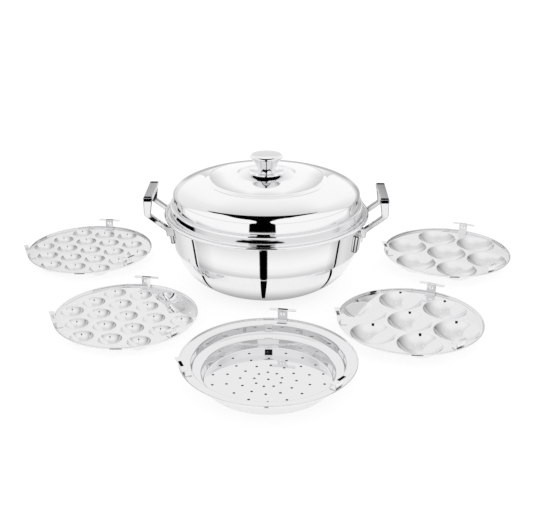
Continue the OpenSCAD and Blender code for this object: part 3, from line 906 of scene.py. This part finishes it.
def lug(z):
    """A strip bent twice: foot on the plate, upright with two slots, and a cross bar on top.
    It faces +X, with the upright's outer face at x = 0."""
    line = rounded([(-LUG_FOOT, z + LUG_T / 2), (-LUG_T / 2, z + LUG_T / 2),
                    (-LUG_T / 2, z + LUG_H - LUG_T / 2),
                    (BAR_W - LUG_T - 1, z + LUG_H - LUG_T / 2)], 1.0, 5)
    middle = draw_line("lug", [(x, -LUG_W / 2, h) for x, h in line])
    bpy.ops.mesh.select_all(action="SELECT")
    bpy.ops.mesh.extrude_region_move(TRANSFORM_OT_translate={"value": (0, LUG_W * MM, 0)})
    bpy.ops.object.mode_set(mode="OBJECT")
    solidify(middle, LUG_T, 0)
    punches = []
    for side in (-1, 1):
        bpy.ops.object.select_all(action="DESELECT")
        bpy.ops.mesh.primitive_cylinder_add(vertices=SLOT_STEPS, radius=MM, depth=PUNCH_H * MM)
        punch = bpy.context.object
        punch.data.transform(placed(-LUG_T / 2, side * SLOT_SIDE * LUG_W, z + LUG_H * SLOT_HEIGHT)
                             @ turned(90, "Y") @ Matrix.Diagonal((*SLOT_HALF, 1, 1)))
        punches.append(punch)
    punch = join(punches, "punch")
    cut_by(middle, punch)
    drop(punch)
    back, front, half = -LUG_T, BAR_W - LUG_T, BAR_LEN / 2
    bar = draw_face("bar", [(x, y, z + LUG_H - LUG_T) for x, y in (
        (back, -half), (front, -half), (front, half), (back, half))])
    bpy.ops.mesh.extrude_region_move(TRANSFORM_OT_translate={"value": (0, 0, LUG_T * MM)})
    tidy_normals()
    bevel(bar, 0.25)
    return join([middle, bar], "lug")


patterns = {"mini_rear": mini, "mini_front": mini, "idli_rear": idli, "idli_front": idli, "steamer": pan}
nodes = {"mini_rear": "mini_plate_rear", "mini_front": "mini_plate_front", "idli_rear": "idli_plate_rear",
         "idli_front": "idli_plate_front", "steamer": "steamer_plate"}
for name, (x, y, turn, height, reach, first) in LAYOUT.items():
    steel = mirror_steel("stainless_mirror_" + name, (x, y))
    plate = copy_to(patterns[name], name + "_sheet", x, y, turn)
    settle(plate, steel, name, "polished_steel", nodes[name])
    strip = lug(height)
    strip.data.transform(placed(reach, 0, 0))
    for k in (1, 2, 3):
        piece = copy_to(strip, f"{name}_strip_{k}", x, y, turn + first + 120 * (k - 1))
        settle(piece, steel, name, "polished_steel", f"{name}_lug_{k}")
    drop(strip)
drop(mini, idli, pan)


# Studio

scene = bpy.context.scene
scene.view_settings.view_transform = "Standard"

# The tent, in millimetres: its radius, its wall's height, and the way up its cloth to the top
TENT_R = 170
TENT_WALL = 250
TENT_TOP = TENT_WALL + TENT_R * math.pi / 2
TENT_NET = (1440, 400)
ROOM_R = 3500
ROOM_NET = (720, 240)
ROOM_LOW = -10

# Greys, 0 to 255, as (place, grey). Round the tent's cloth in degrees, right of the camera is
# positive; above and below the level of the pot's rim
CLOTH_WHITE = 246
HIGH_GREYS = ((-130, 246), (-120, 243), (-110, 235), (-90, 229), (-77, 226),
              (77, 221), (90, 228), (100, 235), (110, 244), (120, 246))
LOW_GREYS = ((-130, 214), (-90, 211), (-80, 225), (-70, 235),
             (62, 214), (70, 224), (80, 213), (90, 207), (130, 210))
# Up the front below the rim in millimetres, and how much darker it gets towards its sides
FRONT_GREYS = ((8, 247), (19, 207), (27, 213), (34, 238), (43, 246),
               (52, 243), (60, 236), (68, 227), (77, 221), (97, 221))
FRONT_FALL = ((-58, -30), (-42, 0), (50, 0), (59, -32))
# Over the roof, from the camera's side to the back, in millimetres from the middle
ROOF_GREYS = ((-60, 207), (-30, 211), (0, 216), (25, 222), (50, 229),
              (75, 234), (100, 239), (125, 244), (145, 246))
FRONT_PANEL = (-76.5, 75.5)
FRONT_LOW = (-60, 59)
RIM_LEVEL = 101

# Outlines on the cloth: the back arch and the gap's bell as (way up, turn), the dark board's lower
# edge as (turn, way up)
ARCH_SIDE = ((150, 139), (192, 142), (219, 141.5), (254, 142),
             (291, 145.5), (324, 152), (345, 158), (362, 172))
ARCH_SPAN = (152, 364)
BOARD_LOW = ((-86, 290), (-79, 305), (-74, 338), (-66, 350), (-20, 348), (8, 348), (20, 386),
             (35, 397), (50, 390), (62, 384), (72, 364), (80, 338), (86, 322))
BELL_LEFT = ((98, -12.8), (118, -12.3), (140, -11.6), (160, -11), (175, -8), (222, -9),
             (290, -11.5), (320, -16), (345, -24))
BELL_RIGHT = ((98, 6.8), (118, 6.4), (140, 5.8), (160, 5.4), (175, 3.7), (222, 3.5),
              (290, 4.2), (330, 8), (345, 14))
BELL_SPAN = (104, 350)

# The room's greys by the rise above the table in degrees: behind the plates, at their sides and on
# the camera's side
ROOM_BACK = ((0, 180), (8, 204), (20, 230), (32, 236), (50, 230), (70, 218), (90, 214))
ROOM_SIDE = ((0, 110), (8, 138), (20, 176), (35, 206), (50, 218), (70, 220), (90, 216))
ROOM_FRONT = ((0, 160), (8, 184), (20, 208), (35, 228), (50, 238), (70, 234), (90, 216))


def light_for(grey):
    """How strongly a surface has to glow for the steel that mirrors it to show this grey, 0 to 255."""
    share = np.clip(grey, 0, 255) / 255
    return np.where(share <= 0.04045, share / 12.92, ((share + 0.055) / 1.055) ** 2.4) / colour(STEEL_TONE)[0]


def past(value, edge, soft):
    """0 below the edge and 1 above it, soft on both sides."""
    k = np.clip((value - edge) / (2 * soft) + 0.5, 0, 1)
    return k * k * (3 - 2 * k)


def within(value, low, high, soft):
    """1 between two edges and 0 outside them."""
    return past(value, low, soft) * (1 - past(value, high, soft))


def inside_oval(side_share, up_share, soft):
    """1 inside an oval and 0 outside it, from the shares of the way to its edge in both directions."""
    return 1 - past(np.hypot(side_share, up_share), 1, soft)


def blend(a, b, share):
    """From a, at a share of 0, to b, at 1."""
    return a + (b - a) * share


def read(at, curve):
    """The value at each place on a curve of (place, value) points."""
    places, values = zip(*curve)
    return np.interp(at, places, values)


def cloth_grey(turn, up, z, x, y):
    """The grey of the tent's bare cloth: see tent_grey."""
    # A wide white front panel, cloth that greys towards the sides, and a white back
    front = within(turn, *FRONT_PANEL, 0.5)
    high = blend(read(turn, HIGH_GREYS), CLOTH_WHITE, front)
    low = blend(read(turn, LOW_GREYS), read(turn, FRONT_FALL) + read(z, FRONT_GREYS),
                within(turn, *FRONT_LOW, 1.0))
    grey = blend(low, high, past(z, RIM_LEVEL, 3))
    # Duller strips that the lid's foot mirrors, all round, at the back and on both sides
    off = np.abs(turn)
    grey = grey - 18 * within(z, 128, 160, 6)
    grey = blend(grey, 180, within(z, 96, 150, 8) * past(off, 128, 6))
    grey = blend(grey, 176, within(turn, 86, 124, 7) * within(z, 96, 152, 10))
    grey = blend(grey, 200, within(turn, -120, -90, 6) * within(z, 96, 140, 8))
    # The roof greys from the back to the front
    in_front = 1 - past(y, board_back(x), 3)
    grey = blend(grey, read(y, ROOF_GREYS), past(up, 350, 50) * (1 - front * in_front))
    # An arch at the back, shaded towards its edge, that the lid's panel mirrors
    arch_side = read(up, ARCH_SIDE)
    depth = np.clip(np.minimum((off - arch_side) / 12, (ARCH_SPAN[1] - up) / 40), 0, 1)
    in_arch = past(off, arch_side, 0.8) * within(up, *ARCH_SPAN, 1.5)
    grey = blend(grey, CLOTH_WHITE - 40 * (1 - depth) ** 1.3, in_arch)
    # A grey patch in the arch, that the knob's top mirrors
    return blend(grey, 220, inside_oval((180 - off) / 14, (z - 234) / 30, 0.4))


def board_back(x):
    """How far back the dark board on the roof reaches."""
    return -36 + 30 * (x / TENT_R) ** 2


def tent_grey(turn, up, z, x, y):
    """The tent's grey, from the turn off the camera's side in degrees (right is positive), the way
    up along the cloth, and the place in millimetres, with y away from the camera."""
    off = np.abs(turn)
    shapes = [
        # Dark board across the front of the roof, deeper on the left
        past(up, read(turn, BOARD_LOW), 2) * (1 - past(y, board_back(x), 2.5)),
        # The gap that the camera looks through: a bell above the rim, a slot below it
        within(turn, read(up, BELL_LEFT), read(up, BELL_RIGHT), 0.3) * within(up, *BELL_SPAN, 1),
        within(turn, -5, 0.6, 0.3) * (1 - past(z, 79, 1)),
        # Flat dark disc behind the gap, level with the rim
        inside_oval((turn + 4.5) / 16.5, (z - 93) / 4.5, 0.08),
        # Poles on both sides, the end of a bar on the left, and the handles' dark surroundings
        within(np.abs(turn + 0.8), 60.9, 63.2, 0.3) * (1 - past(z, 74, 2)),
        within(turn, -95, -58, 2) * within(z, 86, 97, 1),
        0.85 * within(off, 97, 107, 1.5) * within(z, 98, 116, 3)]
    return cloth_grey(turn, up, z, x, y) * (1 - np.max(shapes, axis=0))


def mirror_only(piece):
    """A studio card that shows only in reflections."""
    piece.visible_camera = False
    piece.visible_diffuse = False
    piece.visible_transmission = False
    piece.visible_volume_scatter = False
    piece.visible_shadow = False


def rolled_net(name, columns, rows):
    """A flat net for a studio wall, with each point's way round, -180 to 180 degrees, and its way
    up, 0 to 1."""
    start_clean()
    bpy.ops.mesh.primitive_grid_add(x_subdivisions=columns, y_subdivisions=rows, size=1)
    wall = bpy.context.object
    wall.name = wall.data.name = name
    flat = np.empty(len(wall.data.vertices) * 3)
    wall.data.vertices.foreach_get("co", flat)
    flat = flat.reshape(-1, 3)
    return wall, flat[:, 0] * 360, flat[:, 1] + 0.5


def roll_up(wall, turn, r, z, grey):
    """Rolls the net round the Z axis, to each point's radius and height in millimetres, and gives
    each point the light for its grey, which the wall's material shows."""
    angle = np.radians(turn + CAMERA_TURN)
    places = np.stack([r * np.sin(angle), -r * np.cos(angle), z], axis=1) * MM
    wall.data.vertices.foreach_set("co", places.ravel())
    glow = np.repeat(light_for(grey)[:, None], 4, axis=1)
    wall.data.color_attributes.new("glow", "FLOAT_COLOR", "POINT").data.foreach_set("color", glow.ravel())
    wall.data.update()
    mirror_only(wall)


def make_tent():
    """A white cloth tent round the pot, with a dark gap where the camera would look in. Only
    reflections show it, and from outside it is plain near-white."""
    tent, turn, share = rolled_net("tent", *TENT_NET)
    up = 0.5 + share * (TENT_TOP - 1)
    rise = np.maximum(up - TENT_WALL, 0) / TENT_R
    r = TENT_R * np.cos(rise)
    z = np.minimum(up, TENT_WALL) + TENT_R * np.sin(rise)
    grey = tent_grey(turn, up, z, r * np.sin(np.radians(turn)), -r * np.cos(np.radians(turn)))
    roll_up(tent, turn, r, z, grey)
    material, tree = new_material("tent_cloth")
    inside = add(tree, "Emission", {"Color": add(tree, "Attribute", attribute_name="glow")})
    outside = add(tree, "Emission", {"Color": colour("#f9f9f9")})
    tent.data.materials.append(material)
    first = tent.data.polygons[0]
    faces_in = first.normal.dot(Vector((first.center.x, first.center.y, 0))) < 0
    seen_from_behind = add(tree, "NewGeometry").outputs["Backfacing"]
    sides = (inside, outside) if faces_in else (outside, inside)
    finish_material(tree, add(tree, "MixShader", [seen_from_behind, *sides]))


# The table, in metres: its size, how far back its middle is, and how far below the pot's base it
# lies; and the radii between which the pot's belly shades it
FLOOR_SIZE = 12
FLOOR_BACK = 2
FLOOR_GAP = 0.0002
BELLY_SHADE = (0.082, 0.128)
TABLE_TONE = (0.26, 0.26, 0.26, 1)
PLAIN_TONE = (0.8, 0.8, 0.8, 1)


def make_floor():
    """A white table. The camera sees it as plain white with a faint shadow; the steel mirrors it,
    with the dark that gathers under the pot's round belly."""
    start_clean()
    bpy.ops.mesh.primitive_plane_add(size=FLOOR_SIZE, location=(0, FLOOR_BACK, -FLOOR_GAP))
    floor = bpy.context.object
    floor.name = "floor"
    bpy.ops.object.transform_apply(location=True)
    material, tree = new_material("white_table")
    place = add(tree, "TexCoord").outputs["Object"]
    flat = add(tree, "VectorMath", [place, (1, 1, 0)], operation="MULTIPLY")
    radius = add(tree, "VectorMath", [flat], operation="LENGTH").outputs["Value"]
    under = spread(tree, radius, BELLY_SHADE, (0.5, 1.0), interpolation_type="SMOOTHSTEP")
    path = add(tree, "LightPath")
    held = add(tree, "Mix", {0: path.outputs["Is Glossy Ray"], 2: 1.0, 3: under})
    seen = add(tree, "Emission", {"Color": (1, 1, 1, 1), "Strength": 0.8})
    lit = add(tree, "BsdfDiffuse", {"Color": TABLE_TONE})
    both = add(tree, "AddShader", [seen, lit])
    black = add(tree, "Emission", {"Strength": 0.0})
    # Contact shade, in gaps under 4 mm: it is what the steamer's holes show
    close = add(tree, "AmbientOcclusion", {"Distance": 0.004}).outputs["AO"]
    x, y = LAYOUT["steamer"][:2]
    pan_centre = (x * MM, y * MM, -FLOOR_GAP)
    off_centre = add(tree, "VectorMath", [place, pan_centre], operation="DISTANCE").outputs["Value"]
    beside_pan = add(tree, "Math", [off_centre, (PAN_BASE_R - 4) * MM], operation="GREATER_THAN")
    lit_hole = spread(tree, close, (0.6, 0.98), (0.02, 1.0))
    clear = add(tree, "Math", [lit_hole, beside_pan], operation="MAXIMUM")
    share = add(tree, "Math", [held, clear], operation="MULTIPLY")
    shaded = add(tree, "MixShader", [share, black, both])
    plain = add(tree, "BsdfDiffuse", {"Color": PLAIN_TONE})
    direct = add(tree, "Math", [path.outputs["Is Camera Ray"], path.outputs["Is Glossy Ray"]],
                 operation="MAXIMUM")
    finish_material(tree, add(tree, "MixShader", [direct, plain, shaded]))
    floor.data.materials.append(material)


def on_floor(turn, r):
    """The place on the table at a turn off the camera's side and a radius."""
    angle = math.radians(turn + CAMERA_TURN)
    return (r * math.sin(angle), -r * math.cos(angle))


CARD_Z = 0.3


def black_card(name, points):
    """A flat black card on the table, outlined in millimetres."""
    card = draw_face(name, [(x, y, CARD_Z) for x, y in points])
    bpy.ops.object.mode_set(mode="OBJECT")
    card.data.materials.append(card_black)
    mirror_only(card)


make_floor()
make_tent()
card_black, card_tree = new_material("black_card")
finish_material(card_tree, add(card_tree, "Emission", {"Color": colour("#050505")}))
# The gap and the poles go on across the table, and each plate has a dark strip before it
black_card("gap_on_table", [on_floor(-4, 92), on_floor(-5, 168), on_floor(0.5, 168), on_floor(-1.4, 92)])
for side in (-1, 1):
    black_card("pole_on_table", [on_floor(side * 58.5, 95), on_floor(side * 63.2, 168),
                                 on_floor(side * 60.2, 168), on_floor(side * 54.8, 95)])
for name, (x, y, *_) in LAYOUT.items():
    west, east, near, far = (-4, 2.5, -103, -300) if name == "steamer" else (-9, 9, -95, -130)
    black_card("card_before_" + name, [
        (x + west, y + near), (x + east, y + near), (x + east, y + far), (x + west, y + far)])


def room_grey(turn, rise):
    """The room's grey, as the plates mirror it, by the turn off the camera's side and the rise
    above the table, in degrees: dull at the sides, low down and overhead, with a dark horizon."""
    off = np.abs(turn)
    grey = blend(read(rise, ROOM_FRONT), read(rise, ROOM_SIDE), past(off, 80, 25))
    grey = blend(grey, read(rise, ROOM_BACK), past(off, 152, 14))
    grey = blend(grey, 40, within(rise, -4, 6, 1))
    # The opening in front of the camera, darkest at its top
    grey = blend(grey, 216, within(turn, -5, 4, 0.5) * within(rise, 5, 44, 1))
    return blend(grey, 5, within(turn, -8, 7, 0.5) * within(rise, 43, 54, 1))


def make_room():
    """A round room that only reflections show."""
    room, turn, share = rolled_net("room", *ROOM_NET)
    rise = ROOM_LOW + share * (90 - ROOM_LOW)
    angle = np.radians(rise)
    roll_up(room, turn, ROOM_R * np.cos(angle), ROOM_R * np.sin(angle), room_grey(turn, rise))
    material, tree = new_material("room_walls")
    finish_material(tree, add(tree, "Emission", {"Color": add(tree, "Attribute", attribute_name="glow")}))
    room.data.materials.append(material)


make_room()
world = bpy.data.worlds.new("studio")
scene.world = world
world.use_nodes = True
world.node_tree.nodes.clear()
add(world.node_tree, "OutputWorld", {"Surface": add(world.node_tree, "Background", {"Color": (1, 1, 1, 1)})})
